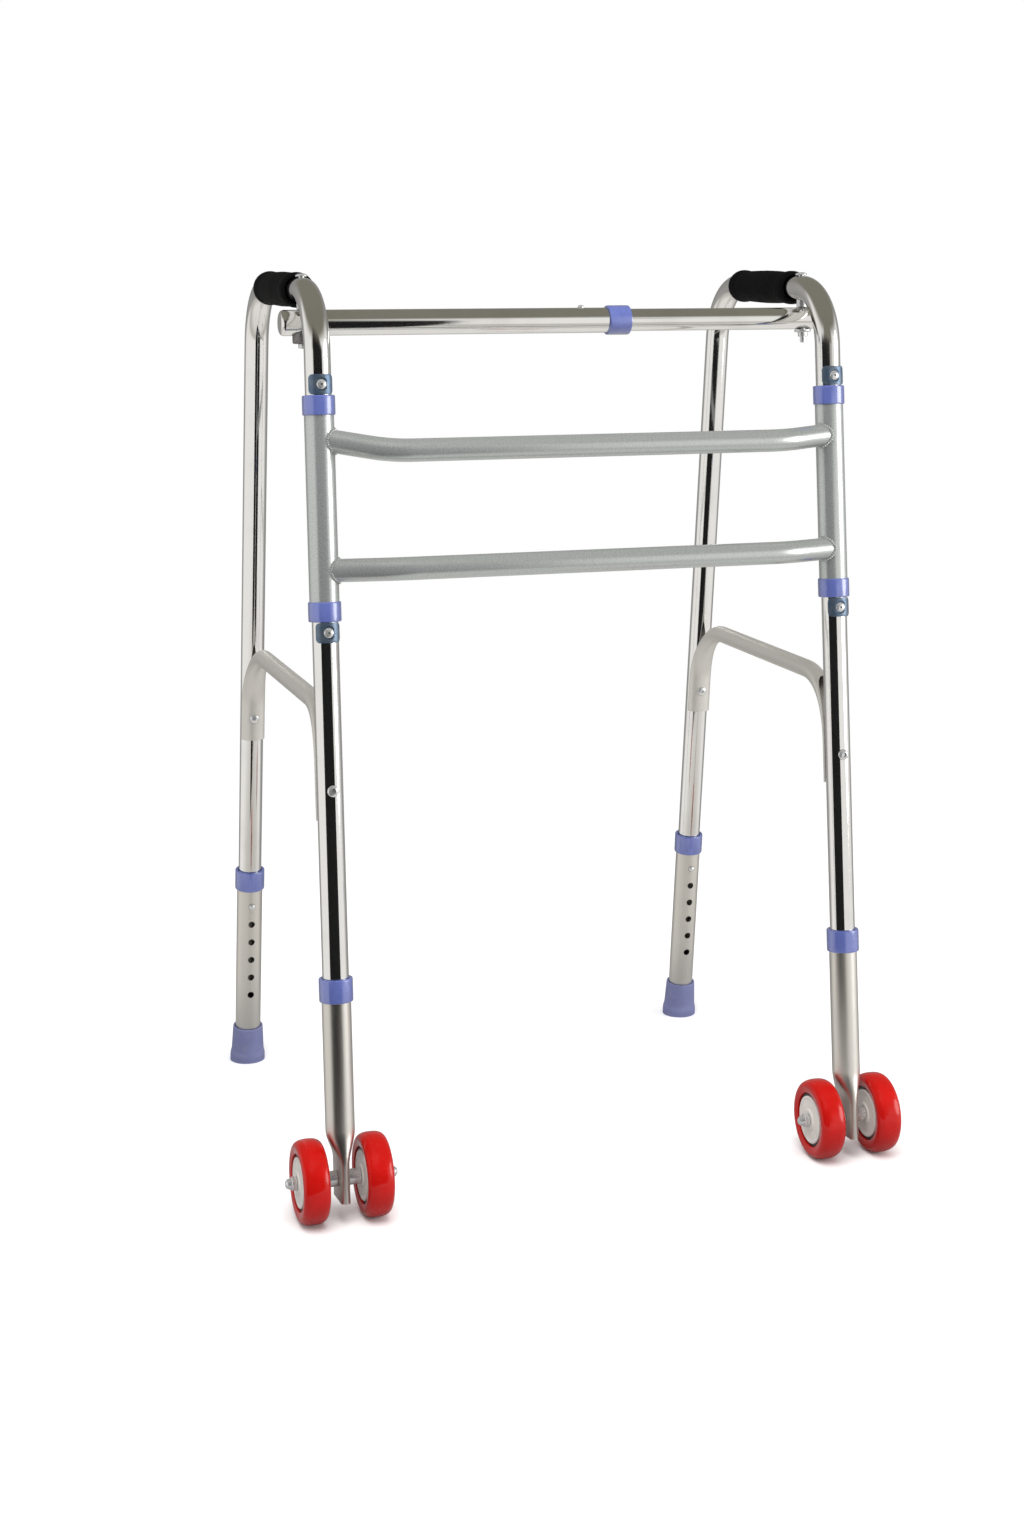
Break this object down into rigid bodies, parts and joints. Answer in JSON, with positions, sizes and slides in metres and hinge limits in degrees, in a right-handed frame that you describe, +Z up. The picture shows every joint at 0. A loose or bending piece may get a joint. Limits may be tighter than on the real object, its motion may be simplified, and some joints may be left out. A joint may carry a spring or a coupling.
{
  "type": "wheeled walker",
  "caption": "Folding walking frame: chrome side frames hinged to a bowed front frame, telescoping crossbar, height-set legs, front wheels and rubber rear feet.",
  "frame": {"origin": "on the floor, under the middle of the object's box", "axes": "+Z up, -Y the front with the wheels, +Y towards the walking person, +X the object's side of the crossbar's inner tube"},
  "size_m": [0.644, 0.5239, 0.8992],
  "materials": {
    "chrome_tube": "polished chrome plate",
    "satin_tube": "satin metal",
    "gray_paint": "satin metallic gray paint",
    "blue_plastic": "smooth moulded blue plastic",
    "pale_rubber": "dull violet-gray rubber",
    "black_foam": "matt black foam",
    "red_tyre": "glossy solid red tyre",
    "hub_plastic": "beige moulded plastic",
    "blue_zinc": "blue passivated zinc",
    "bright_screw": "bright zinc"
  },
  "bodies": {
    "front_frame": {"left_sleeve": "gray_paint", "right_sleeve": "gray_paint", "upper_cross_tube": "gray_paint", "lower_cross_tube": "gray_paint", "left_upper_bushing": "blue_plastic", "left_lower_bushing": "blue_plastic", "right_upper_bushing": "blue_plastic", "right_lower_bushing": "blue_plastic"},
    "left_side_frame": {"left_side_tube": "chrome_tube", "left_grip": "black_foam", "left_brace": "satin_tube", "left_brace_front_screw": "bright_screw", "left_brace_rear_screw": "bright_screw", "left_upper_stop_plate": "blue_zinc", "left_lower_stop_plate": "blue_zinc", "left_upper_stop_screw": "bright_screw", "left_lower_stop_screw": "bright_screw", "left_pivot_bolt": "bright_screw", "left_pivot_spacer": "bright_screw"},
    "right_side_frame": {"right_side_tube": "chrome_tube", "right_grip": "black_foam", "right_brace": "satin_tube", "right_brace_front_screw": "bright_screw", "right_brace_rear_screw": "bright_screw", "right_upper_stop_plate": "blue_zinc", "right_lower_stop_plate": "blue_zinc", "right_upper_stop_screw": "bright_screw", "right_lower_stop_screw": "bright_screw", "right_pivot_bolt": "bright_screw", "right_pivot_spacer": "bright_screw"},
    "crossbar_outer": {"crossbar_outer_tube": "chrome_tube", "crossbar_collar": "blue_plastic", "left_pivot_washer": "blue_zinc"},
    "crossbar_inner": {"crossbar_inner_tube": "chrome_tube", "right_pivot_nut": "bright_screw"},
    "crossbar_snap_button": {"crossbar_button": "bright_screw"},
    "left_front_leg": {"left_front_lower_leg": "satin_tube", "left_front_collar": "blue_plastic", "left_axle": "bright_screw"},
    "left_rear_leg": {"left_rear_lower_leg": "satin_tube", "left_rear_collar": "blue_plastic", "left_rear_foot": "pale_rubber"},
    "left_outer_wheel": {"left_outer_tyre": "red_tyre", "left_outer_hub": "hub_plastic"},
    "left_inner_wheel": {"left_inner_tyre": "red_tyre", "left_inner_hub": "hub_plastic"},
    "left_front_snap_button": {"left_front_button": "bright_screw"},
    "left_rear_snap_button": {"left_rear_button": "bright_screw"},
    "right_front_leg": {"right_front_lower_leg": "satin_tube", "right_front_collar": "blue_plastic", "right_axle": "bright_screw"},
    "right_rear_leg": {"right_rear_lower_leg": "satin_tube", "right_rear_collar": "blue_plastic", "right_rear_foot": "pale_rubber"},
    "right_outer_wheel": {"right_outer_tyre": "red_tyre", "right_outer_hub": "hub_plastic"},
    "right_inner_wheel": {"right_inner_tyre": "red_tyre", "right_inner_hub": "hub_plastic"},
    "right_front_snap_button": {"right_front_button": "bright_screw"},
    "right_rear_snap_button": {"right_rear_button": "bright_screw"}
  },
  "joints": [
    {"name": "left_fold", "type": "hinge", "parent": "front_frame", "child": "left_side_frame", "pos_m": [-0.2655, -0.14378, 0.882], "axis": [0, -0.0927, -0.9957], "range_deg": [0, 80]},
    {"name": "right_fold", "type": "hinge", "parent": "front_frame", "child": "right_side_frame", "pos_m": [0.2655, -0.14378, 0.882], "axis": [0, 0.0927, 0.9957], "range_deg": [0, 56]},
    {"name": "crossbar_swing", "type": "hinge", "parent": "left_side_frame", "child": "crossbar_outer", "pos_m": [-0.2655, -0.08762, 0.8505], "axis": [0, 0.0927, 0.9957], "range_deg": [0, 83.07]},
    {"name": "crossbar_slide", "type": "slide", "parent": "crossbar_outer", "child": "crossbar_inner", "axis": [-1, 0, 0], "range_m": [0, 0.10615], "deforming": ["crossbar_button"]},
    {"name": "crossbar_button_press", "type": "slide", "parent": "crossbar_inner", "child": "crossbar_snap_button", "axis": [0, -0.0927, -0.9957], "range_m": [0, 0.0032], "stiffness_N_per_m": 600, "springref_m": -0.002},
    {"name": "left_front_leg_slide", "type": "slide", "parent": "left_side_frame", "child": "left_front_leg", "axis": [0, 0.0927, 0.9957], "range_m": [0, 0.1065], "deforming": ["left_front_button"]},
    {"name": "left_rear_leg_slide", "type": "slide", "parent": "left_side_frame", "child": "left_rear_leg", "axis": [0, -0.1227, 0.9924], "range_m": [0, 0.1065], "deforming": ["left_rear_button"]},
    {"name": "left_front_button_press", "type": "slide", "parent": "left_side_frame", "child": "left_front_snap_button", "axis": [0, -0.9957, 0.0927], "range_m": [0, 0.0032], "stiffness_N_per_m": 600, "springref_m": -0.002},
    {"name": "left_rear_button_press", "type": "slide", "parent": "left_side_frame", "child": "left_rear_snap_button", "axis": [0, 0.9924, 0.1227], "range_m": [0, 0.0032], "stiffness_N_per_m": 600, "springref_m": -0.002},
    {"name": "left_outer_wheel_spin", "type": "hinge", "parent": "left_front_leg", "child": "left_outer_wheel", "pos_m": [-0.2965, -0.22219, 0.04], "axis": [1, 0, 0], "continuous": true},
    {"name": "left_inner_wheel_spin", "type": "hinge", "parent": "left_front_leg", "child": "left_inner_wheel", "pos_m": [-0.2345, -0.22219, 0.04], "axis": [1, 0, 0], "continuous": true},
    {"name": "right_front_leg_slide", "type": "slide", "parent": "right_side_frame", "child": "right_front_leg", "axis": [0, 0.0927, 0.9957], "range_m": [0, 0.1065], "deforming": ["right_front_button"]},
    {"name": "right_rear_leg_slide", "type": "slide", "parent": "right_side_frame", "child": "right_rear_leg", "axis": [0, -0.1227, 0.9924], "range_m": [0, 0.1065], "deforming": ["right_rear_button"]},
    {"name": "right_front_button_press", "type": "slide", "parent": "right_side_frame", "child": "right_front_snap_button", "axis": [0, -0.9957, 0.0927], "range_m": [0, 0.0032], "stiffness_N_per_m": 600, "springref_m": -0.002},
    {"name": "right_rear_button_press", "type": "slide", "parent": "right_side_frame", "child": "right_rear_snap_button", "axis": [0, 0.9924, 0.1227], "range_m": [0, 0.0032], "stiffness_N_per_m": 600, "springref_m": -0.002},
    {"name": "right_outer_wheel_spin", "type": "hinge", "parent": "right_front_leg", "child": "right_outer_wheel", "pos_m": [0.2965, -0.22219, 0.04], "axis": [1, 0, 0], "continuous": true},
    {"name": "right_inner_wheel_spin", "type": "hinge", "parent": "right_front_leg", "child": "right_inner_wheel", "pos_m": [0.2345, -0.22219, 0.04], "axis": [1, 0, 0], "continuous": true}
  ],
  "couplings": [
    {"joint": "right_fold", "follows": "left_fold", "ratio": 0.7},
    {"joint": "crossbar_swing", "follows": "left_fold", "ratio": 1.0383},
    {"joint": "crossbar_slide", "follows": "left_fold", "m_per_rad": 0.07601}
  ]
}
